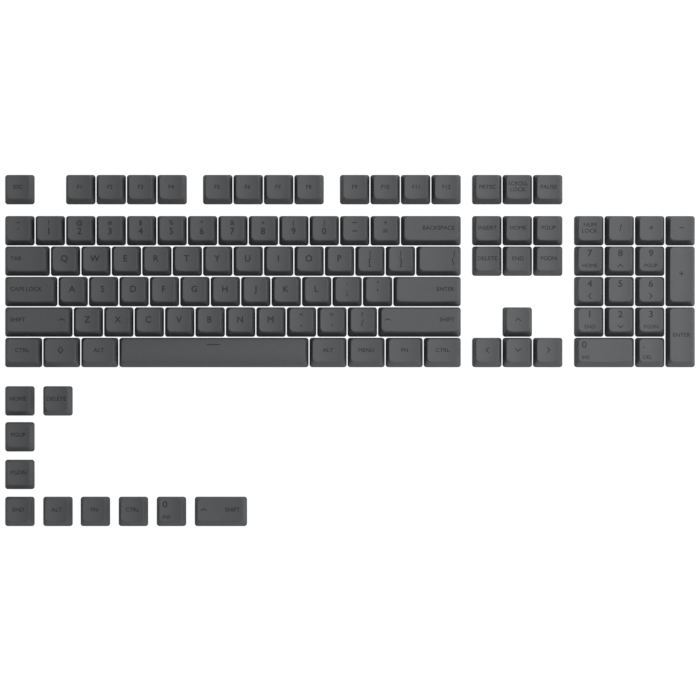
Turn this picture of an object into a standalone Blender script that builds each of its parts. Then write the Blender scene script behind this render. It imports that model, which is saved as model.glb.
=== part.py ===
"""Keycap set for a full-size mechanical keyboard, with ten spare caps for compact layouts.

The caps lie loose on a flat surface, rims down, in the order that they take on a keyboard.
+X runs to the right, +Y towards the back row and +Z up. The origin is under the middle of
the set, on the surface that the rims stand on. Every cap is a hollow moulding: sloped outer
walls, a dished top, an open underside and a boss with the cross socket of a key switch.
Identical one-unit caps that are neighbours are joined at their rims, three or four together,
by thin moulding ties.
"""
import bmesh
import bpy

# The key grid, in metres
UNIT = 0.01905                  # pitch of the key grid
RIM_GAP = 0.0007                # gap between the rims of two neighbours

# The moulding, in metres
WALL = 0.0014                   # thickness of the side walls
CEILING = 0.0015                # thickness of the top at the bottom of its dish
SIDE_INSET = 0.00205            # how far the left and right walls lean in
RIM_CORNER = 0.0013
TOP_CORNER = 0.0019
DISH = 0.0009                   # depth of the dish across the top
SPACE_CROWN = 0.0011            # rise of the space bar's top, which has no dish

# The sockets, in metres
BOSS_RADIUS = 0.00275
BOSS_SIDES = 8
BOSS_CLEARANCE = 0.0006         # the boss ends this far above the rim
CROSS_HALF_LENGTH = 0.00205
CROSS_HALF_WIDTHS = (0.00065, 0.0006)   # the arm along X and the arm along Y
SOCKET_DEPTH = 0.0036
STABILISER_OFFSET = 0.0119      # outer bosses of caps that are 2 to 2.75 units long
SPACE_STABILISER_OFFSET = 0.05

# The ties between the caps of a run, in metres
TIE_HALF_WIDTH = 0.001
TIE_BOTTOM = 0.0002
TIE_TOP = 0.0009
TIE_BITE = 0.0007               # how far a tie reaches into each wall

# Sculpted rows: height at the front and back edge of the top, inset of the front and back wall
SCULPTS = {
    "tall": (0.0081, 0.0096, 0.0034, 0.0008),
    "upper": (0.0074, 0.0083, 0.0034, 0.0008),
    "home": (0.0073, 0.0074, 0.0033, 0.0008),
    "lower": (0.0084, 0.0072, 0.0036, 0.0008),
}

# Rows of caps: distance of the row's back edge from the number row's, in units, and sculpt
ROWS = {
    "function": (-1.35, "tall"),
    "number": (0, "tall"),
    "letter": (1, "upper"),
    "home": (2, "home"),
    "shift": (3, "lower"),
    "bottom": (4, "lower"),
    "spare_1": (5.59, "tall"),
    "spare_2": (6.77, "upper"),
    "spare_3": (8.005, "home"),
    "spare_4": (9.22, "lower"),
}
NAVIGATION = 15.34              # left edge of the navigation cluster, in units
NUMPAD = 18.69                  # left edge of the number pad, in units
SPARE_COLUMNS = (0, 1.25, 2.48, 3.73, 4.98, 6.23)
SET_WIDTH = NUMPAD + 4          # overall size of the set, in units
SET_BACK = ROWS["function"][0]
SET_FRONT = ROWS["spare_4"][0] + 1

# Caps that stand by themselves: name, row, left edge, width and depth, in units
SINGLE_CAPS = [
    ("cap_escape", "function", 0, 1, 1),
    ("cap_print_screen", "function", NAVIGATION, 1, 1),
    ("cap_scroll_lock", "function", NAVIGATION + 1, 1, 1),
    ("cap_pause", "function", NAVIGATION + 2, 1, 1),
    ("cap_backspace", "number", 13, 2, 1),
    ("cap_tab", "letter", 0, 1.5, 1),
    ("cap_backslash", "letter", 13.5, 1.5, 1),
    ("cap_num_plus", "letter", NUMPAD + 3, 1, 2),
    ("cap_caps_lock", "home", 0, 1.75, 1),
    ("cap_enter", "home", 12.75, 2.25, 1),
    ("cap_left_shift", "shift", 0, 2.25, 1),
    ("cap_right_shift", "shift", 12.25, 2.75, 1),
    ("cap_arrow_up", "shift", NAVIGATION + 1, 1, 1),
    ("cap_num_enter", "shift", NUMPAD + 3, 1, 2),
    ("cap_left_control", "bottom", 0, 1.25, 1),
    ("cap_system", "bottom", 1.25, 1.25, 1),
    ("cap_left_alt", "bottom", 2.5, 1.25, 1),
    ("cap_space", "bottom", 3.75, 6.25, 1),
    ("cap_right_alt", "bottom", 10, 1.25, 1),
    ("cap_menu", "bottom", 11.25, 1.25, 1),
    ("cap_function", "bottom", 12.5, 1.25, 1),
    ("cap_right_control", "bottom", 13.75, 1.25, 1),
    ("cap_arrow_left", "bottom", NAVIGATION, 1, 1),
    ("cap_arrow_down", "bottom", NAVIGATION + 1, 1, 1),
    ("cap_arrow_right", "bottom", NAVIGATION + 2, 1, 1),
    ("cap_num_0", "bottom", NUMPAD, 2, 1),
    ("cap_num_point", "bottom", NUMPAD + 2, 1, 1),
    ("spare_home", "spare_1", SPARE_COLUMNS[0], 1, 1),
    ("spare_delete", "spare_1", SPARE_COLUMNS[1], 1, 1),
    ("spare_page_up", "spare_2", SPARE_COLUMNS[0], 1, 1),
    ("spare_page_down", "spare_3", SPARE_COLUMNS[0], 1, 1),
    ("spare_end", "spare_4", SPARE_COLUMNS[0], 1, 1),
    ("spare_alt", "spare_4", SPARE_COLUMNS[1], 1, 1),
    ("spare_function", "spare_4", SPARE_COLUMNS[2], 1, 1),
    ("spare_control", "spare_4", SPARE_COLUMNS[3], 1, 1),
    ("spare_num_0", "spare_4", SPARE_COLUMNS[4], 1, 1),
    ("spare_shift", "spare_4", SPARE_COLUMNS[5], 1.75, 1),
]

# Runs of identical one-unit caps: name, row, left edge in units and number of caps
CAP_RUNS = [
    ("caps_f1_to_f4", "function", 2, 4),
    ("caps_f5_to_f8", "function", 6.5, 4),
    ("caps_f9_to_f12", "function", 11, 4),
    ("caps_grave_to_3", "number", 0, 4),
    ("caps_4_to_6", "number", 4, 3),
    ("caps_7_to_9", "number", 7, 3),
    ("caps_0_to_equals", "number", 10, 3),
    ("caps_q_to_r", "letter", 1.5, 4),
    ("caps_t_to_i", "letter", 5.5, 4),
    ("caps_o_to_bracket", "letter", 9.5, 4),
    ("caps_a_to_f", "home", 1.75, 4),
    ("caps_g_to_k", "home", 5.75, 4),
    ("caps_l_to_quote", "home", 9.75, 3),
    ("caps_z_to_v", "shift", 2.25, 4),
    ("caps_b_to_m", "shift", 6.25, 3),
    ("caps_comma_to_slash", "shift", 9.25, 3),
    ("caps_insert_to_page_up", "number", NAVIGATION, 3),
    ("caps_delete_to_page_down", "letter", NAVIGATION, 3),
    ("caps_num_lock_to_minus", "number", NUMPAD, 4),
    ("caps_num_7_to_9", "letter", NUMPAD, 3),
    ("caps_num_4_to_6", "home", NUMPAD, 3),
    ("caps_num_1_to_3", "shift", NUMPAD, 3),
]

PLASTIC_COLOUR = (0.085, 0.09, 0.093, 1)
PLASTIC_ROUGHNESS = 0.62


def clear_scene():
    for thing in list(bpy.data.objects):
        bpy.data.objects.remove(thing, do_unlink=True)


def between(start, end, share):
    return start + (end - start) * share


def set_position(left, row, width, depth):
    """Centre of a cap in the set, from its place on the key grid."""
    back = ROWS[row][0]
    x = (left + width / 2 - SET_WIDTH / 2) * UNIT
    y = ((SET_BACK + SET_FRONT) / 2 - back - depth / 2) * UNIT
    return x, y


class CapShape:
    """Sizes of one cap, worked out about its own centre."""

    def __init__(self, row, width, depth):
        rows = list(ROWS)
        front_row = rows[rows.index(row) + depth - 1]
        self.front_height, _, self.front_inset, _ = SCULPTS[ROWS[front_row][1]]
        _, self.back_height, _, self.back_inset = SCULPTS[ROWS[row][1]]
        self.half_width = (width * UNIT - RIM_GAP) / 2
        self.half_depth = (depth * UNIT - RIM_GAP) / 2
        self.is_space = width > 6
        self.bosses = self.boss_places(width, depth)

    def boss_places(self, width, depth):
        """Centres of the switch boss and of the stabiliser bosses beside it."""
        if self.is_space:
            return [(step * SPACE_STABILISER_OFFSET, 0) for step in (-1, 0, 1)]
        if width >= 2:
            return [(step * STABILISER_OFFSET, 0) for step in (-1, 0, 1)]
        if depth >= 2:
            return [(0, step * STABILISER_OFFSET) for step in (-1, 0, 1)]
        return [(0, 0)]

    def bounds(self, share):
        """Left, right, front and back of the outer wall, from 0 at the rim to 1 at the top."""
        side = self.half_width - SIDE_INSET * share
        return (-side, side, -self.half_depth + self.front_inset * share,
                self.half_depth - self.back_inset * share)

    def slope(self, y):
        """Height of the plane through the top's front and back edge."""
        _, _, front, back = self.bounds(1)
        return between(self.front_height, self.back_height, (y - front) / (back - front))

    def top(self, x, y):
        """Height of the top, dished from side to side, or crowned on the space bar."""
        _, right, front, back = self.bounds(1)
        if self.is_space:
            middle = (front + back) / 2
            offset = (y - middle) / (back - middle)
            return self.slope(y) - SPACE_CROWN * offset ** 2
        return self.slope(y) - DISH * (1 - (x / right) ** 2)

    def ceiling(self, x, y):
        """Height of the hollow's ceiling."""
        drop = SPACE_CROWN if self.is_space else DISH
        return self.slope(y) - drop - CEILING


def outline(bounds, corner, lengthwise):
    """Points round a rectangle with cut corners. Opposite points face each other in pairs.

    The stations run from left to right, or from front to back when lengthwise.
    """
    left, right, front, back = bounds
    if lengthwise:
        left, right, front, back = front, back, left, right
    near, far = left + corner, right - corner
    stations = [left, near, between(near, far, 0.25), between(near, far, 0.75), far, right]
    setbacks = [corner, 0, 0, 0, 0, corner]
    one_side = [(s, front + cut) for s, cut in zip(stations, setbacks)]
    other_side = [(s, back - cut) for s, cut in zip(stations, setbacks)]
    points = one_side + other_side[::-1]
    return [(y, x) for x, y in points] if lengthwise else points


def polygon(centre, radius, sides):
    """Points of a regular polygon with a flat side to the front."""
    circle = bmesh.new()
    made = bmesh.ops.create_circle(circle, segments=sides, radius=radius)
    points = [(centre[0] + v.co.x, centre[1] + v.co.y) for v in made["verts"]]
    circle.free()
    return points


def cross(centre):
    """Twelve points round the cross socket."""
    long = CROSS_HALF_LENGTH
    half_x, half_y = CROSS_HALF_WIDTHS
    quarter = [(long, half_x), (half_y, half_x), (half_y, long)]
    points = quarter + [(-x, y) for x, y in quarter[::-1]]
    points += [(-x, -y) for x, y in points]
    return [(centre[0] + x, centre[1] + y) for x, y in points]


def add_ring(bm, points, height):
    """A closed ring of edges. height is a number, or a function of x and y."""
    verts = []
    for x, y in points:
        z = height(x, y) if callable(height) else height
        verts.append(bm.verts.new((x, y, z)))
    for a, b in zip(verts, verts[1:] + verts[:1]):
        bm.edges.new((a, b))
    return verts


def bridge(bm, lower, upper):
    """Quads between two rings that have the same number of points."""
    count = len(lower)
    for i in range(count):
        j = (i + 1) % count
        bm.faces.new((lower[i], lower[j], upper[j], upper[i]))


def fill(bm, rings):
    """Fill the flat region between an outer ring and the rings inside it."""
    edges = []
    for ring in rings:
        for a, b in zip(ring, ring[1:] + ring[:1]):
            edges.append(bm.edges.get((a, b)))
    bmesh.ops.triangle_fill(bm, edges=edges, normal=(0, 0, 1), use_beauty=True)


def inner_bounds(shape, share):
    """The outer wall's bounds at one level, moved in by the wall's thickness."""
    left, right, front, back = shape.bounds(share)
    return left + WALL, right - WALL, front + WALL, back - WALL


def rectangle(bounds):
    left, right, front, back = bounds
    return [(left, front), (right, front), (right, back), (left, back)]


def add_outside(bm, shape):
    """Outer wall and top. Returns the rim's ring."""
    rim = add_ring(bm, outline(shape.bounds(0), RIM_CORNER, shape.is_space), 0)
    edge = add_ring(bm, outline(shape.bounds(1), TOP_CORNER, shape.is_space), shape.top)
    bridge(bm, rim, edge)
    last = len(edge) - 1
    for i in range(len(edge) // 2 - 1):
        bm.faces.new((edge[i], edge[i + 1], edge[last - i - 1], edge[last - i]))
    return rim


def add_boss(bm, centre):
    """A boss with its cross socket. Returns the ring where it meets the ceiling."""
    root = add_ring(bm, polygon(centre, BOSS_RADIUS, BOSS_SIDES), 0)
    end = add_ring(bm, polygon(centre, BOSS_RADIUS, BOSS_SIDES), BOSS_CLEARANCE)
    bridge(bm, end, root)
    mouth = add_ring(bm, cross(centre), BOSS_CLEARANCE)
    bottom = add_ring(bm, cross(centre), BOSS_CLEARANCE + SOCKET_DEPTH)
    bridge(bm, mouth, bottom)
    fill(bm, [end, mouth])
    bm.faces.new(bottom)
    return root


def add_inside(bm, shape, rim):
    """The hollow's walls and ceiling, with the bosses standing down from it."""
    ceiling_share = shape.ceiling(0, 0) / shape.slope(0)
    mouth = add_ring(bm, rectangle(inner_bounds(shape, 0)), 0)
    fill(bm, [rim, mouth])
    corner_ring = add_ring(bm, rectangle(inner_bounds(shape, ceiling_share)), 0)
    boss_rings = [add_boss(bm, centre) for centre in shape.bosses]
    fill(bm, [corner_ring] + boss_rings)
    for ring in [corner_ring] + boss_rings:
        for vert in ring:
            vert.co.z = shape.ceiling(vert.co.x, vert.co.y)
    bridge(bm, mouth, corner_ring)


def add_cap(bm, shape, x, y):
    """One whole cap with its centre at x, y."""
    before = set(bm.verts)
    rim = add_outside(bm, shape)
    add_inside(bm, shape, rim)
    new_verts = [vert for vert in bm.verts if vert not in before]
    bmesh.ops.translate(bm, verts=new_verts, vec=(x, y, 0))


def plastic(name):
    """Dark grey moulded plastic with a fine matt grain."""
    material = bpy.data.materials.new(name + "_plastic")
    material.use_nodes = True
    shader = material.node_tree.nodes["Principled BSDF"]
    shader.inputs["Base Color"].default_value = PLASTIC_COLOUR
    shader.inputs["Roughness"].default_value = PLASTIC_ROUGHNESS
    shader.inputs["Metallic"].default_value = 0
    material.diffuse_color = PLASTIC_COLOUR
    return material


def finish_object(name, bm, x=0, y=0):
    """Turn a mesh into a named object at its place."""
    bmesh.ops.recalc_face_normals(bm, faces=bm.faces)
    mesh = bpy.data.meshes.new(name)
    bm.to_mesh(mesh)
    bm.free()
    thing = bpy.data.objects.new(name, mesh)
    thing.location = (x, y, 0)
    bpy.context.scene.collection.objects.link(thing)
    return thing


def make_single_cap(name, row, left, width, depth):
    """A cap that is one of a kind, with its origin under its own centre."""
    bm = bmesh.new()
    add_cap(bm, CapShape(row, width, depth), 0, 0)
    thing = finish_object(name, bm, *set_position(left, row, width, depth))
    thing.data.materials.append(plastic(name))


def make_ties(name, count):
    """Bars that bridge the gaps between the rims of a run, about the run's first cap."""
    bm = bmesh.new()
    half_length = RIM_GAP / 2 + TIE_BITE
    half_height = (TIE_TOP - TIE_BOTTOM) / 2
    for step in range(count - 1):
        bar = bmesh.ops.create_cube(bm, size=2)
        bmesh.ops.scale(bm, verts=bar["verts"], vec=(half_length, TIE_HALF_WIDTH, half_height))
        place = ((step + 0.5) * UNIT, 0, (TIE_TOP + TIE_BOTTOM) / 2)
        bmesh.ops.translate(bm, verts=bar["verts"], vec=place)
    return finish_object(name + "_ties", bm)


def make_run(name, row, left, count):
    """A run of identical caps joined at their rims, with its origin under the first one."""
    bm = bmesh.new()
    for step in range(count):
        add_cap(bm, CapShape(row, 1, 1), step * UNIT, 0)
    thing = finish_object(name, bm, *set_position(left, row, 1, 1))
    thing.data.materials.append(plastic(name))
    ties = make_ties(name, count)
    ties.location = thing.location
    ties.hide_render = True
    ties.display_type = "WIRE"
    union = thing.modifiers.new("join_ties", "BOOLEAN")
    union.operation = "UNION"
    union.solver = "EXACT"
    union.object = ties


clear_scene()
for single in SINGLE_CAPS:
    make_single_cap(*single)
for run in CAP_RUNS:
    make_run(*run)
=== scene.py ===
"""Looks of a full-size keycap set: 114 separate matt plastic caps with dyed legends.

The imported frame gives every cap's place. Each CAD node is replaced by finely moulded caps:
rounded edges, a dished top, an open hollow, and bosses with cross sockets. The legends are thin
inlays in a darker grey that follow the dish.
"""
import math

import bmesh
import bpy
import numpy as np
from mathutils import Matrix, Vector


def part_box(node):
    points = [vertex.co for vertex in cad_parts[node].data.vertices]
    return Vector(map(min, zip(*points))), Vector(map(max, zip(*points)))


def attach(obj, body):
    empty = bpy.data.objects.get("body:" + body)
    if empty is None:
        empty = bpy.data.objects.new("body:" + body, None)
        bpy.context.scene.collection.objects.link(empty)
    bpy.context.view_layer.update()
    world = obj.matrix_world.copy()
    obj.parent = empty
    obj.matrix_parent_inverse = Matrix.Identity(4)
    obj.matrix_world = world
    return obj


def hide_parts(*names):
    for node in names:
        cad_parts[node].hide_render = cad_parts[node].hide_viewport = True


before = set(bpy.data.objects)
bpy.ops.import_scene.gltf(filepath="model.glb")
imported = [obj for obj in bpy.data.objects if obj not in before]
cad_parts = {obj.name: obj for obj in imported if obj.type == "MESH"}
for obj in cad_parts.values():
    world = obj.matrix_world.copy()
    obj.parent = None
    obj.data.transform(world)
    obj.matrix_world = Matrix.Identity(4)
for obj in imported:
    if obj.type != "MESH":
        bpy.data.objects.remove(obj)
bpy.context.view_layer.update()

# The key grid, in metres
UNIT = 0.01905                  # pitch of the key grid
MM = 0.001
SPACE_WIDTH = 6 * UNIT          # only the space bar is wider than this
LONG_HALF_SIDE = 0.9 * UNIT     # a cap with a longer half side has stabiliser bosses

# The moulding, in metres
WALL = 0.0014
CEILING = 0.0015
SIDE_INSET = 0.00205            # how far the left and right walls lean in
RIM_CORNER = 0.0017
RIM_SPREAD = 0.0001             # how far each side of a rim stands outside the CAD's rim
TOP_CORNER = 0.0024
DISH = 0.0009
SPACE_CROWN = 0.0011
EDGE_ROUND = 0.00055            # how far the rounding of the top's edge reaches each way
INNER_TOP_CORNER = TOP_CORNER - 0.6 * EDGE_ROUND
RIM_ROUND = 0.0002
INNER_ROUND = 0.0008
MOUTH_CORNER = 0.0008           # corners of the hollow at the rim, above it and on the ceiling
HOLLOW_CORNER = 0.0012
CEILING_CORNER = 0.0009

# The sockets, in metres
BOSS_RADIUS = 0.00275
BOSS_CLEARANCE = 0.0006
BOSS_ROUND = 0.0002
CROSS_HALF_LENGTH = 0.00205
CROSS_HALF_WIDTHS = (0.00065, 0.0006)
SOCKET_DEPTH = 0.0036
STABILISER_OFFSET = 0.0119
SPACE_STABILISER_OFFSET = 0.05

# How finely the surfaces are divided
CORNER_STEPS = 7
STEPS_PER_UNIT = 12             # along a straight side, for each unit of its length
WALL_STEPS = 5
EDGE_STEPS = 6
TOP_RINGS = 7
INNER_STEPS = 3
BOSS_SIDES = 32
SHARP_ANGLE = 38                # degrees between faces that don't blend into each other
MERGE_DISTANCE = 1e-6
LETTER_MERGE_DISTANCE = 1e-7
FILL_TURN = 0.3                 # the ceiling is filled at this angle, as bosses in a line upset it

# Sculpted rows: height at the front and back edge of the top, inset of the front and back wall
TALL = (0.0081, 0.0096, 0.0034, 0.0008)
UPPER = (0.0074, 0.0083, 0.0034, 0.0008)
HOME = (0.0073, 0.0074, 0.0033, 0.0008)
LOWER = (0.0084, 0.0072, 0.0036, 0.0008)
UPPER_TO_HOME = (HOME[0], UPPER[1], HOME[2], UPPER[3])

# Legends, in metres: heights of the letters, and places from the middle of the cap
LETTER_HEIGHT = 0.0038
DIGIT_HEIGHT = 0.0039
SYMBOL_HEIGHT = 0.0028
WORD_HEIGHT = 0.0024
SMALL_HEIGHT = 0.0022
ARROW_HEIGHT = 0.0028
MIDDLE_LINE = 0.00155
FUNCTION_LINE = 0.0013
SYMBOL_LINE = 0.0047
DIGIT_LINE = -0.0005
PAD_DIGIT_LINE = 0.0049
PAD_WORD_LINE = -0.0029
FIRST_LINE = 0.0034
SECOND_LINE = -0.0003
MARGIN = 0.0043                 # from the rim's edge to a legend at one end of a cap
CARET_MARGIN = 0.006
WORD_STRETCH = 1.05
PAD_DIGIT_STRETCH = 1.1
WIDEST_WORD = 0.0127            # on a one-unit cap
WORD_MARGIN = UNIT / 2 - WIDEST_WORD / 2
STROKE = 0.00062
MINUS_LENGTH = 0.0024
DASH_LENGTH = 0.0076            # the bar on the space bar
DASH_LINE = 0.005
CARET_HALF_WIDTH = 0.0016
CARET_HALF_RISE = 0.0004
DIAMOND_SHARE = 0.85            # width of the diamond, as a share of its height
ARROW_HALF_SPAN = 0.55          # sizes of an arrow, as shares of its height
ARROW_HALF_RISE = 0.25
BOLD = 0.021                    # how far a letter's outline swells, as a share of its height
LEGEND_RISE = 0.000015          # the legend's face stands this far above the plastic
LEGEND_DEPTH = 0.00012
LEGEND_SLICE = 0.0006           # the legend is cut into strips this wide to follow the dish
CAPITAL_SHARE = 0.682           # height of a capital letter, as a share of the font's size
LETTER_STEPS = 4                # divisions of a letter's curves
HANGING_SIGNS = "*~"            # these are centred on the line, as their height is unlike a letter's
SIGNS = ("dash", "minus", "caret", "diamond", "arrow_up", "arrow_down", "arrow_left", "arrow_right")

# Plastic and dye: two greys to mottle between, and one surface for both
PLASTIC_DARK = (0.083, 0.0865, 0.0915)
PLASTIC_LIGHT = (0.101, 0.1045, 0.1105)
DYE_DARK = (0.013, 0.0135, 0.014)
DYE_LIGHT = (0.017, 0.0175, 0.018)
MOTTLE_SCALE = 260
MOTTLE_DETAIL = 5
MOTTLE_ROUGHNESS = 0.62
GRAIN_SCALE = 4200
GRAIN_DETAIL = 3
GRAIN_STRENGTH = 0.5
GRAIN_DEPTH = 0.00003
ROUGHNESS = 0.6
ROUGHNESS_SPREAD = 0.08

# The stage, in metres
HALF_GAP = 0.00035              # how far the painted shade, a dark floor under the caps, reaches into a gap between neighbouring caps
STAGE_SIZE = 12
GROUND_HEIGHT = -0.0002
SHADE_HEIGHT = -0.0003
FLOOR_HEIGHT = -0.0004
GROUND_ALBEDO = 0.17
GROUND_GLOW = 0.93
# painted shade: the dark floor under the caps, much darker than the white floor around them
SHADE_ALBEDO = 0.1
FLOOR_ALBEDO = 0.8

# Light and camera
ROOM_GLOW = 0.2
SOFTBOX_TARGET = (0.05, 0, 0)
CAMERA_HEIGHT = 1.5
VIEW_WIDTH = 0.4382
VIEW_MIDDLE = 0.00035           # the camera stands this far behind the set's middle
SENSOR = 36                     # millimetres


class Mark:
    """One word, sign or arrow of a legend, placed from the middle of its cap."""

    def __init__(self, text, height, line, side=0, stretch=1.0):
        self.text = text
        self.height = height
        self.line = line
        self.side = side            # -1 left end, 0 middle, 1 right end of the cap
        self.stretch = stretch


def letter(text):
    return [Mark(text, LETTER_HEIGHT, MIDDLE_LINE)]


def letters(text):
    """Neighbouring caps with one letter each: their names and legends."""
    return [(one.lower(), letter(one)) for one in text]


def word(text, side=0):
    return [Mark(text, WORD_HEIGHT, MIDDLE_LINE, side, WORD_STRETCH)]


def function_word(text):
    return [Mark(text, WORD_HEIGHT, FUNCTION_LINE, 0, WORD_STRETCH)]


def two_words(first, second):
    return [Mark(first, WORD_HEIGHT, FIRST_LINE, 0, WORD_STRETCH),
            Mark(second, WORD_HEIGHT, SECOND_LINE, 0, WORD_STRETCH)]


def pair(symbol, digit, side=0):
    return [Mark(symbol, SYMBOL_HEIGHT, SYMBOL_LINE, side),
            Mark(digit, DIGIT_HEIGHT, DIGIT_LINE, side)]


def pad(digit, below, side=0):
    """A digit of the number pad, with a word or an arrow below it."""
    marks = [Mark(digit, DIGIT_HEIGHT, PAD_DIGIT_LINE, side, PAD_DIGIT_STRETCH)]
    if below.startswith("arrow"):
        marks.append(Mark(below, ARROW_HEIGHT, PAD_WORD_LINE, side))
    elif below:
        marks.append(Mark(below, SMALL_HEIGHT, PAD_WORD_LINE, side, WORD_STRETCH))
    return marks


def arrow(direction):
    return [Mark("arrow_" + direction, ARROW_HEIGHT, MIDDLE_LINE)]


def shift(caret_side):
    """The word at one end of the cap and a caret at the other."""
    return [Mark("SHIFT", WORD_HEIGHT, MIDDLE_LINE, -caret_side, WORD_STRETCH),
            Mark("caret", WORD_HEIGHT, MIDDLE_LINE, caret_side)]


# Caps by CAD node: sculpt, then the name and legend of each cap from left to right
CAPS = {
    "cap_escape": (TALL, [("escape", function_word("ESC"))]),
    "caps_f1_to_f4": (TALL, [("f%d" % n, function_word("F%d" % n)) for n in range(1, 5)]),
    "caps_f5_to_f8": (TALL, [("f%d" % n, function_word("F%d" % n)) for n in range(5, 9)]),
    "caps_f9_to_f12": (TALL, [("f%d" % n, function_word("F%d" % n)) for n in range(9, 13)]),
    "cap_print_screen": (TALL, [("print_screen", function_word("PRTSC"))]),
    "cap_scroll_lock": (TALL, [("scroll_lock", two_words("SCROLL", "LOCK"))]),
    "cap_pause": (TALL, [("pause", function_word("PAUSE"))]),
    "caps_grave_to_3": (TALL, [
        ("grave", pair("~", "`")), ("1", pair("!", "1")), ("2", pair("@", "2")),
        ("3", pair("#", "3"))]),
    "caps_4_to_6": (TALL, [("4", pair("$", "4")), ("5", pair("%", "5")), ("6", pair("^", "6"))]),
    "caps_7_to_9": (TALL, [("7", pair("&", "7")), ("8", pair("*", "8")), ("9", pair("(", "9"))]),
    "caps_0_to_equals": (TALL, [
        ("0", pair(")", "0")), ("minus", pair("minus", "minus")), ("equals", pair("+", "="))]),
    "cap_backspace": (TALL, [("backspace", word("BACKSPACE", 1))]),
    "caps_insert_to_page_up": (TALL, [
        ("insert", word("INSERT")), ("home", word("HOME")), ("page_up", word("PGUP"))]),
    "caps_num_lock_to_minus": (TALL, [
        ("num_lock", two_words("NUM", "LOCK")), ("num_divide", letter("/")),
        ("num_multiply", letter("*")), ("num_minus", letter("minus"))]),
    "cap_tab": (UPPER, [("tab", word("TAB", -1))]),
    "caps_q_to_r": (UPPER, letters("QWER")),
    "caps_t_to_i": (UPPER, letters("TYUI")),
    "caps_o_to_bracket": (UPPER, letters("OP") + [
        ("left_bracket", pair("{", "[")), ("right_bracket", pair("}", "]"))]),
    "cap_backslash": (UPPER, [("backslash", pair("|", "\\", 1))]),
    "caps_delete_to_page_down": (UPPER, [
        ("delete", word("DELETE")), ("end", word("END")), ("page_down", word("PGDN"))]),
    "caps_num_7_to_9": (UPPER, [
        ("num_7", pad("7", "HOME")), ("num_8", pad("8", "arrow_up")), ("num_9", pad("9", "PGUP"))]),
    "cap_num_plus": (UPPER_TO_HOME, [("num_plus", letter("+"))]),
    "cap_caps_lock": (HOME, [("caps_lock", word("CAPS LOCK", -1))]),
    "caps_a_to_f": (HOME, letters("ASDF")),
    "caps_g_to_k": (HOME, letters("GHJK")),
    "caps_l_to_quote": (HOME, letters("L") + [
        ("semicolon", pair(":", ";")), ("quote", pair("\"", "'"))]),
    "cap_enter": (HOME, [("enter", word("ENTER", 1))]),
    "caps_num_4_to_6": (HOME, [
        ("num_4", pad("4", "arrow_left")), ("num_5", pad("5", "")), ("num_6", pad("6", "arrow_right"))]),
    "cap_left_shift": (LOWER, [("left_shift", shift(1))]),
    "caps_z_to_v": (LOWER, letters("ZXCV")),
    "caps_b_to_m": (LOWER, letters("BNM")),
    "caps_comma_to_slash": (LOWER, [
        ("comma", pair("<", ",")), ("period", pair(">", ".")), ("slash", pair("?", "/"))]),
    "cap_right_shift": (LOWER, [("right_shift", shift(-1))]),
    "cap_arrow_up": (LOWER, [("arrow_up", arrow("up"))]),
    "caps_num_1_to_3": (LOWER, [
        ("num_1", pad("1", "END")), ("num_2", pad("2", "arrow_down")), ("num_3", pad("3", "PGDN"))]),
    "cap_num_enter": (LOWER, [("num_enter", word("ENTER"))]),
    "cap_left_control": (LOWER, [("left_control", word("CTRL"))]),
    "cap_system": (LOWER, [("system", [Mark("diamond", LETTER_HEIGHT, MIDDLE_LINE)])]),
    "cap_left_alt": (LOWER, [("left_alt", word("ALT"))]),
    "cap_space": (LOWER, [("space", [Mark("dash", WORD_HEIGHT, DASH_LINE)])]),
    "cap_right_alt": (LOWER, [("right_alt", word("ALT"))]),
    "cap_menu": (LOWER, [("menu", word("MENU"))]),
    "cap_function": (LOWER, [("function", word("FN"))]),
    "cap_right_control": (LOWER, [("right_control", word("CTRL"))]),
    "cap_arrow_left": (LOWER, [("arrow_left", arrow("left"))]),
    "cap_arrow_down": (LOWER, [("arrow_down", arrow("down"))]),
    "cap_arrow_right": (LOWER, [("arrow_right", arrow("right"))]),
    "cap_num_0": (LOWER, [("num_0", pad("0", "INS", -1))]),
    "cap_num_point": (LOWER, [("num_point", pad(".", "DEL", -1))]),
    "spare_home": (TALL, [("spare_home", word("HOME"))]),
    "spare_delete": (TALL, [("spare_delete", word("DELETE"))]),
    "spare_page_up": (UPPER, [("spare_page_up", word("PGUP"))]),
    "spare_page_down": (HOME, [("spare_page_down", word("PGDN"))]),
    "spare_end": (LOWER, [("spare_end", word("END"))]),
    "spare_alt": (LOWER, [("spare_alt", word("ALT"))]),
    "spare_function": (LOWER, [("spare_function", word("FN"))]),
    "spare_control": (LOWER, [("spare_control", word("CTRL"))]),
    "spare_num_0": (LOWER, [("spare_num_0", pad("0", "INS", -1))]),
    "spare_shift": (LOWER, [("spare_shift", shift(-1))]),
}


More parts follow.
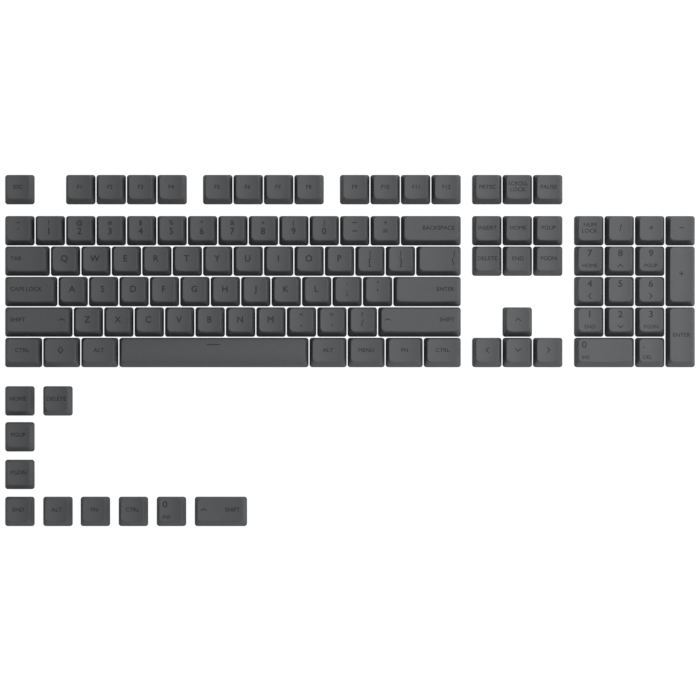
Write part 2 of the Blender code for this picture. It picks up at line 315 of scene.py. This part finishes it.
class CapShape:
    """Sizes of one cap, about its own centre."""

    def __init__(self, sculpt, width, depth):
        self.front_height, self.back_height, self.front_inset, self.back_inset = sculpt
        self.half_width = width / 2
        self.half_depth = depth / 2
        self.is_space = width > SPACE_WIDTH
        self.across = round(STEPS_PER_UNIT * width / UNIT)
        self.along = round(STEPS_PER_UNIT * depth / UNIT)

    def bosses(self):
        """Centres of the switch boss and of the stabiliser bosses beside it."""
        if self.is_space:
            return [(step * SPACE_STABILISER_OFFSET, 0) for step in (-1, 0, 1)]
        if self.half_width > LONG_HALF_SIDE:
            return [(step * STABILISER_OFFSET, 0) for step in (-1, 0, 1)]
        if self.half_depth > LONG_HALF_SIDE:
            return [(0, step * STABILISER_OFFSET) for step in (-1, 0, 1)]
        return [(0, 0)]

    def bounds(self, share):
        """Left, right, front and back of the outer wall, from 0 at the rim to 1 at the top."""
        side = self.half_width - SIDE_INSET * share
        return (-side, side, -self.half_depth + self.front_inset * share,
                self.half_depth - self.back_inset * share)

    def slope(self, y):
        """Height of the plane through the top's front and back edge."""
        _, _, front, back = self.bounds(1)
        share = (y - front) / (back - front)
        return self.front_height + (self.back_height - self.front_height) * share

    def top(self, x, y):
        """Height of the top, dished from side to side, or crowned on the space bar."""
        _, right, front, back = self.bounds(1)
        if self.is_space:
            middle = (front + back) / 2
            offset = (y - middle) / (back - middle)
            return self.slope(y) - SPACE_CROWN * offset ** 2
        return self.slope(y) - DISH * (1 - (x / right) ** 2)

    def ceiling(self, x, y):
        drop = SPACE_CROWN if self.is_space else DISH
        return self.slope(y) - drop - CEILING


def rounded_outline(bounds, radius, across, along):
    """Points anticlockwise round a rectangle with round corners, from its front left."""
    left, right, front, back = bounds
    points = []
    corners = [
        ((left + radius, front), (right - radius, front), across, (right - radius, front + radius)),
        ((right, front + radius), (right, back - radius), along, (right - radius, back - radius)),
        ((right - radius, back), (left + radius, back), across, (left + radius, back - radius)),
        ((left, back - radius), (left, front + radius), along, (left + radius, front + radius)),
    ]
    for turn, (start, end, steps, centre) in enumerate(corners):
        for step in range(steps):
            share = step / steps
            points.append((start[0] + (end[0] - start[0]) * share,
                           start[1] + (end[1] - start[1]) * share))
        for step in range(CORNER_STEPS):
            angle = math.radians(-90 + 90 * (turn + step / CORNER_STEPS))
            points.append((centre[0] + radius * math.cos(angle),
                           centre[1] + radius * math.sin(angle)))
    return np.array(points)


def with_height(points, height):
    """Add a z to each point of an outline. height is a number, or a function of x and y."""
    if callable(height):
        heights = height(points[:, 0], points[:, 1])
    else:
        heights = np.full(len(points), height)
    return np.column_stack([points, heights])


def rounding(start, corner, stop, share):
    """The point at a share of the way from start to stop, on a curve that rounds the corner."""
    rest = 1 - share
    return rest ** 2 * start + 2 * share * rest * corner + share ** 2 * stop


def outer_rings(shape):
    """Rings from the rim's underside up the wall, over the edge and in to the top's spine."""
    steps = (shape.across, shape.along)
    rim = with_height(rounded_outline(shape.bounds(0), RIM_CORNER, *steps), 0.0)
    nominal = rounded_outline(shape.bounds(1), TOP_CORNER, *steps)
    reach = shape.top(*nominal.T) / shape.slope(nominal[:, 1])
    edge_plan = rim[:, :2] + (nominal - rim[:, :2]) * reach[:, None]
    edge = with_height(edge_plan, shape.top)
    length = np.linalg.norm(edge - rim, axis=1)[:, None]
    up = (edge - rim) / length
    inset_bounds = np.array(shape.bounds(1)) + np.array((1, -1, 1, -1)) * EDGE_ROUND
    inside_nominal = rounded_outline(inset_bounds, INNER_TOP_CORNER, *steps)
    inside_plan = inside_nominal + (edge_plan - nominal)
    inside = with_height(inside_plan, shape.top)
    rings = []
    under = rim.copy()
    under[:, :2] *= 1 - RIM_ROUND / np.array([shape.half_width, shape.half_depth])
    rings.append(under)
    start = rim + up * RIM_ROUND
    stop = edge - up * EDGE_ROUND
    for step in range(WALL_STEPS + 1):
        rings.append(start + (stop - start) * (step / WALL_STEPS))
    for step in range(1, EDGE_STEPS + 1):
        rings.append(rounding(stop, edge, inside, step / EDGE_STEPS))
    spine = spine_points(shape, nominal)
    for step in range(1, TOP_RINGS + 1):
        plan = inside_plan + (spine - inside_plan) * (step / TOP_RINGS)
        rings.append(with_height(plan, shape.top))
    return rings


def spine_points(shape, plan):
    """The nearest points on the middle line of the top, where its last ring closes up."""
    _, right, front, back = shape.bounds(1)
    middle_y = (front + back) / 2
    half_x, half_y = right, (back - front) / 2
    spare = abs(half_x - half_y)
    if half_x > half_y:
        return np.column_stack([np.clip(plan[:, 0], -spare, spare), np.full(len(plan), middle_y)])
    near = np.clip(plan[:, 1] - middle_y, -spare, spare)
    return np.column_stack([np.zeros(len(plan)), near + middle_y])


def add_ring(bm, ring):
    return [bm.verts.new(point) for point in ring]


def bridge(bm, lower, upper):
    """Quads between two rings that have the same number of points."""
    for i in range(len(lower)):
        j = (i + 1) % len(lower)
        bm.faces.new((lower[i], lower[j], upper[j], upper[i]))


def close_edges(bm, ring):
    """The ring's edges, made where they are missing."""
    edges = []
    for a, b in zip(ring, ring[1:] + ring[:1]):
        edges.append(bm.edges.get((a, b)) or bm.edges.new((a, b)))
    return edges


def fill(bm, rings):
    """Fill the flat region between an outer ring and the rings inside it."""
    edges = [edge for ring in rings for edge in close_edges(bm, ring)]
    bmesh.ops.triangle_fill(bm, edges=edges, normal=(0, 0, 1), use_beauty=True)


def circle(centre, radius, height):
    angles = [2 * math.pi * step / BOSS_SIDES for step in range(BOSS_SIDES)]
    return [(centre[0] + radius * math.cos(a), centre[1] + radius * math.sin(a), height)
            for a in angles]


def cross(centre, height, spread=0.0):
    """Twelve points round the cross socket, spread outwards at its mouth."""
    long = CROSS_HALF_LENGTH + spread
    half_x, half_y = (half + spread for half in CROSS_HALF_WIDTHS)
    quarter = [(long, half_x), (half_y, half_x), (half_y, long)]
    points = quarter + [(-x, y) for x, y in quarter[::-1]]
    points += [(-x, -y) for x, y in points]
    return [(centre[0] + x, centre[1] + y, height) for x, y in points]


def add_boss(bm, centre):
    """A boss with its cross socket. Returns the ring where it meets the ceiling."""
    end_height = BOSS_CLEARANCE
    root = add_ring(bm, circle(centre, BOSS_RADIUS, 0))
    shoulder = add_ring(bm, circle(centre, BOSS_RADIUS, end_height + BOSS_ROUND))
    end = add_ring(bm, circle(centre, BOSS_RADIUS - BOSS_ROUND, end_height))
    bridge(bm, shoulder, root)
    bridge(bm, end, shoulder)
    mouth = add_ring(bm, cross(centre, end_height, BOSS_ROUND))
    throat = add_ring(bm, cross(centre, end_height + BOSS_ROUND))
    bottom = add_ring(bm, cross(centre, end_height + SOCKET_DEPTH))
    bridge(bm, mouth, throat)
    bridge(bm, throat, bottom)
    fill(bm, [end, mouth])
    bm.faces.new(bottom)
    return root


def add_inside(bm, shape, under):
    """The hollow's walls and ceiling, with the bosses standing down from it."""
    steps = (shape.across, shape.along)
    ceiling_share = shape.ceiling(0, 0) / shape.slope(0)
    walls = np.array((1, -1, 1, -1)) * WALL
    mouth_plan = rounded_outline(np.array(shape.bounds(0)) + walls, MOUTH_CORNER, *steps)
    corner_bounds = np.array(shape.bounds(ceiling_share)) + walls
    corner_plan = rounded_outline(corner_bounds, HOLLOW_CORNER, *steps)
    flat_bounds = corner_bounds + np.array((1, -1, 1, -1)) * INNER_ROUND
    flat_plan = rounded_outline(flat_bounds, CEILING_CORNER, *steps)
    mouth = with_height(mouth_plan, 0.0)
    corner = with_height(corner_plan, shape.ceiling)
    flat = with_height(flat_plan, shape.ceiling)
    down = (mouth - corner) / np.linalg.norm(mouth - corner, axis=1)[:, None]
    below = corner + down * INNER_ROUND
    mouth_ring = add_ring(bm, mouth)
    bridge(bm, mouth_ring, under)
    last = mouth_ring
    for step in range(INNER_STEPS + 1):
        ring = add_ring(bm, rounding(below, corner, flat, step / INNER_STEPS))
        bridge(bm, ring, last)
        last = ring
    boss_rings = [add_boss(bm, centre) for centre in shape.bosses()]
    for vert in last:
        vert.co.z = 0
    outlines = [last] + boss_rings
    verts = [vert for ring in outlines for vert in ring]
    turn = Matrix.Rotation(FILL_TURN, 3, "Z")
    bmesh.ops.rotate(bm, verts=verts, cent=(0, 0, 0), matrix=turn)
    fill(bm, outlines)
    bmesh.ops.rotate(bm, verts=verts, cent=(0, 0, 0), matrix=turn.inverted())
    for vert in verts:
        vert.co.z = shape.ceiling(vert.co.x, vert.co.y)


def cap_mesh(name, shape):
    """One whole cap about its own centre, smooth, with sharp socket and rim edges."""
    bm = bmesh.new()
    rings = [add_ring(bm, ring) for ring in outer_rings(shape)]
    for lower, upper in zip(rings, rings[1:]):
        bridge(bm, lower, upper)
    add_inside(bm, shape, rings[0])
    bmesh.ops.remove_doubles(bm, verts=rings[-1], dist=MERGE_DISTANCE)
    bmesh.ops.recalc_face_normals(bm, faces=bm.faces)
    mesh = bpy.data.meshes.new(name)
    bm.to_mesh(mesh)
    bm.free()
    mesh.shade_smooth()
    mesh.set_sharp_from_angle(angle=math.radians(SHARP_ANGLE))
    return mesh


def stroke(points, closed=False):
    """A flat band of even width along a line of points, as a list of quads' corners."""
    quads = []
    count = len(points) if closed else len(points) - 1
    for i in range(count):
        start = Vector(points[i])
        end = Vector(points[(i + 1) % len(points)])
        along = (end - start).normalized() * STROKE / 2
        side = Vector((-along.y, along.x))
        quads.append([start - along - side, end + along - side, end + along + side,
                      start - along + side])
    return quads


def sign_strokes(text, height):
    """The bands that draw an arrow, a caret, a dash, a minus or a diamond about its middle."""
    half = height / 2
    if text == "minus":
        return stroke([(-MINUS_LENGTH / 2, 0), (MINUS_LENGTH / 2, 0)])
    if text == "dash":
        return stroke([(-DASH_LENGTH / 2, 0), (DASH_LENGTH / 2, 0)])
    if text == "caret":
        return stroke([(-CARET_HALF_WIDTH, -CARET_HALF_RISE), (0, CARET_HALF_RISE),
                       (CARET_HALF_WIDTH, -CARET_HALF_RISE)])
    if text == "diamond":
        side = DIAMOND_SHARE * half
        return stroke([(side, 0), (0, half), (-side, 0), (0, -half)], closed=True)
    wide, deep = ARROW_HALF_SPAN * height, ARROW_HALF_RISE * height
    chevron = {
        "arrow_up": [(-wide, -deep), (0, deep), (wide, -deep)],
        "arrow_down": [(-wide, deep), (0, -deep), (wide, deep)],
        "arrow_left": [(deep, -wide), (-deep, 0), (deep, wide)],
        "arrow_right": [(-deep, -wide), (deep, 0), (-deep, wide)],
    }[text]
    return stroke(chevron)


def text_bmesh(text, height, stretch):
    """A word as a slab from z = -1 to z = 1, about its own middle."""
    curve = bpy.data.curves.new("word", "FONT")
    curve.body = text
    curve.size = height / CAPITAL_SHARE
    curve.extrude = 1.0
    curve.bevel_depth = BOLD * height
    curve.bevel_resolution = 0
    curve.resolution_u = LETTER_STEPS
    thing = bpy.data.objects.new("word", curve)
    bpy.context.scene.collection.objects.link(thing)
    depsgraph = bpy.context.evaluated_depsgraph_get()
    mesh = bpy.data.meshes.new_from_object(thing.evaluated_get(depsgraph))
    bpy.data.objects.remove(thing)
    bpy.data.curves.remove(curve)
    bm = bmesh.new()
    bm.from_mesh(mesh)
    bpy.data.meshes.remove(mesh)
    bmesh.ops.remove_doubles(bm, verts=bm.verts, dist=LETTER_MERGE_DISTANCE)
    xs = [vert.co.x for vert in bm.verts]
    ys = [vert.co.y for vert in bm.verts]
    middle_x = (min(xs) + max(xs)) / 2
    middle_y = (min(ys) + max(ys)) / 2 if text in HANGING_SIGNS else height / 2
    for vert in bm.verts:
        vert.co.x = (vert.co.x - middle_x) * stretch
        vert.co.y -= middle_y
    return bm


def sign_bmesh(text, height):
    """A sign as a slab from z = -1 to z = 1, about its own middle."""
    bm = bmesh.new()
    for corners in sign_strokes(text, height):
        low = [bm.verts.new((c.x, c.y, -1)) for c in corners]
        high = [bm.verts.new((c.x, c.y, 1)) for c in corners]
        bm.faces.new(low[::-1])
        bm.faces.new(high)
        bridge(bm, low, high)
    return bm


def place_mark(bm, mark, shape):
    """Move a slab from the cap's middle to its mark's place, squeezed to fit the cap."""
    xs = [vert.co.x for vert in bm.verts]
    width = max(xs) - min(xs)
    room = 2 * shape.half_width - 2 * WORD_MARGIN
    squeeze = min(1.0, room / width)
    margin = CARET_MARGIN if mark.text == "caret" else MARGIN + width * squeeze / 2
    x = mark.side * (shape.half_width - margin)
    for vert in bm.verts:
        vert.co.x = vert.co.x * squeeze + x
        vert.co.y += mark.line


def follow_top(bm, shape):
    """Cut a slab into narrow strips and wrap it onto the top."""
    xs = [vert.co.x for vert in bm.verts]
    cut = (math.floor(min(xs) / LEGEND_SLICE) + 0.5) * LEGEND_SLICE
    while cut < max(xs):
        geometry = bm.verts[:] + bm.edges[:] + bm.faces[:]
        bmesh.ops.bisect_plane(bm, geom=geometry, plane_co=(cut, 0, 0), plane_no=(1, 0, 0))
        cut += LEGEND_SLICE
    bmesh.ops.dissolve_degenerate(bm, edges=bm.edges, dist=MERGE_DISTANCE)
    for vert in bm.verts:
        offset = LEGEND_RISE if vert.co.z > 0 else -LEGEND_DEPTH
        vert.co.z = shape.top(vert.co.x, vert.co.y) + offset


def legend_mesh(name, marks, shape):
    """All the marks of one cap as one mesh."""
    whole = bmesh.new()
    for mark in marks:
        if mark.text in SIGNS:
            bm = sign_bmesh(mark.text, mark.height)
        else:
            bm = text_bmesh(mark.text, mark.height, mark.stretch)
        place_mark(bm, mark, shape)
        follow_top(bm, shape)
        part = bpy.data.meshes.new("mark")
        bm.to_mesh(part)
        bm.free()
        whole.from_mesh(part)
        bpy.data.meshes.remove(part)
    mesh = bpy.data.meshes.new(name)
    whole.to_mesh(mesh)
    whole.free()
    return mesh


def node(tree, kind, **settings):
    made = tree.nodes.new(kind)
    for key, value in settings.items():
        setattr(made, key, value)
    return made


def moulded_plastic(name, dark, light):
    """Matt plastic: a slightly mottled grey with a fine moulded grain."""
    material = bpy.data.materials.new(name)
    material.use_nodes = True
    tree = material.node_tree
    shader = tree.nodes["Principled BSDF"]
    shader.inputs["Metallic"].default_value = 0
    shader.inputs["IOR"].default_value = 1.5
    place = node(tree, "ShaderNodeTexCoord")
    identity = node(tree, "ShaderNodeObjectInfo")
    mottle = node(tree, "ShaderNodeTexNoise", noise_dimensions="4D")
    mottle.inputs["Scale"].default_value = MOTTLE_SCALE
    mottle.inputs["Detail"].default_value = MOTTLE_DETAIL
    mottle.inputs["Roughness"].default_value = MOTTLE_ROUGHNESS
    tree.links.new(place.outputs["Object"], mottle.inputs["Vector"])
    tree.links.new(identity.outputs["Random"], mottle.inputs["W"])
    blend = node(tree, "ShaderNodeMix", data_type="RGBA")
    blend.inputs["A"].default_value = (*dark, 1)
    blend.inputs["B"].default_value = (*light, 1)
    tree.links.new(mottle.outputs["Fac"], blend.inputs["Factor"])
    tree.links.new(blend.outputs["Result"], shader.inputs["Base Color"])
    speckle = node(tree, "ShaderNodeTexNoise")
    speckle.inputs["Scale"].default_value = GRAIN_SCALE
    speckle.inputs["Detail"].default_value = GRAIN_DETAIL
    tree.links.new(place.outputs["Object"], speckle.inputs["Vector"])
    matt = node(tree, "ShaderNodeMapRange")
    matt.inputs["To Min"].default_value = ROUGHNESS - ROUGHNESS_SPREAD
    matt.inputs["To Max"].default_value = ROUGHNESS + ROUGHNESS_SPREAD
    tree.links.new(speckle.outputs["Fac"], matt.inputs["Value"])
    tree.links.new(matt.outputs["Result"], shader.inputs["Roughness"])
    bump = node(tree, "ShaderNodeBump")
    bump.inputs["Strength"].default_value = GRAIN_STRENGTH
    bump.inputs["Distance"].default_value = GRAIN_DEPTH
    tree.links.new(speckle.outputs["Fac"], bump.inputs["Height"])
    tree.links.new(bump.outputs["Normal"], shader.inputs["Normal"])
    return material


def link(thing):
    bpy.context.scene.collection.objects.link(thing)
    return thing


def make_caps():
    """Every cap and its legend, riding on the CAD body that they stand for."""
    plastic = moulded_plastic("cap_plastic", PLASTIC_DARK, PLASTIC_LIGHT)
    dye = moulded_plastic("legend_dye", DYE_DARK, DYE_LIGHT)
    meshes = {}
    for cad_node, (sculpt, caps) in CAPS.items():
        low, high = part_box(cad_node)
        width = high[0] - low[0] - (len(caps) - 1) * UNIT + 2 * RIM_SPREAD
        depth = high[1] - low[1] + 2 * RIM_SPREAD
        first_x = low[0] - RIM_SPREAD + width / 2
        middle_y = (low[1] + high[1]) / 2
        for step, (name, marks) in enumerate(caps):
            shape = CapShape(sculpt, width, depth)
            key = (sculpt, round(width / MM, 2), round(depth / MM, 2))
            if key not in meshes:
                meshes[key] = cap_mesh("cap_" + name, shape)
                meshes[key].materials.append(plastic)
            cap = link(bpy.data.objects.new("cap_" + name, meshes[key]))
            cap.location = (first_x + step * UNIT, middle_y, low[2])
            signs = legend_mesh("legend_" + name, marks, shape)
            legend = link(bpy.data.objects.new("legend_" + name, signs))
            legend.data.materials.append(dye)
            legend.parent = cap
            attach(cap, cad_node)
            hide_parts(cad_node)


def flat_plane(name, height):
    bm = bmesh.new()
    bmesh.ops.create_grid(bm, x_segments=1, y_segments=1, size=STAGE_SIZE / 2)
    mesh = bpy.data.meshes.new(name)
    bm.to_mesh(mesh)
    bm.free()
    plane = link(bpy.data.objects.new(name, mesh))
    plane.location.z = height
    return plane


def paint(plane, name, albedo):
    """A matt grey for a plane of the stage. Returns its shader."""
    material = bpy.data.materials.new(name)
    material.use_nodes = True
    shader = material.node_tree.nodes["Principled BSDF"]
    shader.inputs["Base Color"].default_value = (albedo, albedo, albedo, 1)
    shader.inputs["Roughness"].default_value = 1
    shader.inputs["Specular IOR Level"].default_value = 0
    plane.data.materials.append(material)
    return shader


def shade_under_caps():
    """Painted shade: a grey plane under each CAD node that reaches halfway across the gaps between caps,
    a dark floor that keeps the gaps in shade.
    """
    bm = bmesh.new()
    for cad_node in CAPS:
        low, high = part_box(cad_node)
        corners = [(low[0], low[1]), (high[0], low[1]), (high[0], high[1]), (low[0], high[1])]
        spread = [(-1, -1), (1, -1), (1, 1), (-1, 1)]
        bm.faces.new([bm.verts.new((x + HALF_GAP * i, y + HALF_GAP * j, SHADE_HEIGHT))
                      for (x, y), (i, j) in zip(corners, spread)])
    mesh = bpy.data.meshes.new("shade")
    bm.to_mesh(mesh)
    bm.free()
    shade = link(bpy.data.objects.new("shade", mesh))
    shade.visible_camera = False
    return shade


def make_stage():
    """A white ground for the camera, over a floor that bounces light up the caps' walls, with painted
    shade under the caps: a dark floor that keeps the gaps between them shaded.
    """
    ground = flat_plane("ground", GROUND_HEIGHT)
    glow = paint(ground, "white_ground", GROUND_ALBEDO)
    glow.inputs["Emission Color"].default_value = (1, 1, 1, 1)
    glow.inputs["Emission Strength"].default_value = GROUND_GLOW
    ground.visible_diffuse = False
    ground.visible_glossy = False
    ground.visible_shadow = False
    # painted shade: a dark floor under the caps, so the gaps between them stay shaded
    paint(shade_under_caps(), "painted_shade_floor", SHADE_ALBEDO)
    floor = flat_plane("floor", FLOOR_HEIGHT)
    floor.visible_camera = False
    paint(floor, "white_floor", FLOOR_ALBEDO)


def aim(name, light, place, target=(0, 0, 0)):
    thing = link(bpy.data.objects.new(name, light))
    thing.location = place
    direction = Vector(target) - Vector(place)
    thing.rotation_euler = direction.to_track_quat("-Z", "Y").to_euler()


def softbox(name, place, size, power):
    light = bpy.data.lights.new(name, "AREA")
    light.shape = "SQUARE"
    light.size = size
    light.energy = power
    aim(name, light, place, SOFTBOX_TARGET)


def far_panel(name, azimuth, elevation, spread, strength):
    """A wide, even light from far away. Azimuth 0 is on the right and 90 is behind the set."""
    light = bpy.data.lights.new(name, "SUN")
    light.angle = math.radians(spread)
    light.energy = strength
    turn, rise = math.radians(azimuth), math.radians(elevation)
    place = (math.cos(turn) * math.cos(rise), math.sin(turn) * math.cos(rise), math.sin(rise))
    aim(name, light, place)


def make_lights():
    """An evenly lit white room with far panels overhead, behind and low on the front right,
    and two softboxes near the set, on its right and behind it."""
    world = bpy.data.worlds.new("room")
    world.use_nodes = True
    world.node_tree.nodes["Background"].inputs["Color"].default_value = (1, 1, 1, 1)
    world.node_tree.nodes["Background"].inputs["Strength"].default_value = ROOM_GLOW
    bpy.context.scene.world = world
    softbox("softbox_back_right", place=(0.45, 0.35, 0.55), size=0.3, power=1.85)
    softbox("softbox_right", place=(0.3, 0, 0.5), size=0.3, power=0.6)
    far_panel("panel_overhead", azimuth=0, elevation=89, spread=40, strength=0.38)
    far_panel("panel_back", azimuth=80, elevation=62, spread=40, strength=0.32)
    far_panel("panel_front", azimuth=300, elevation=12, spread=30, strength=0.6)


def make_camera():
    """Straight above the set."""
    camera = bpy.data.cameras.new("camera")
    camera.sensor_width = SENSOR
    camera.lens = SENSOR * CAMERA_HEIGHT / VIEW_WIDTH
    thing = link(bpy.data.objects.new("camera", camera))
    thing.location = (0, VIEW_MIDDLE, CAMERA_HEIGHT)
    bpy.context.scene.camera = thing


make_camera()
make_caps()
make_stage()
make_lights()
bpy.context.scene.view_settings.view_transform = "Standard"
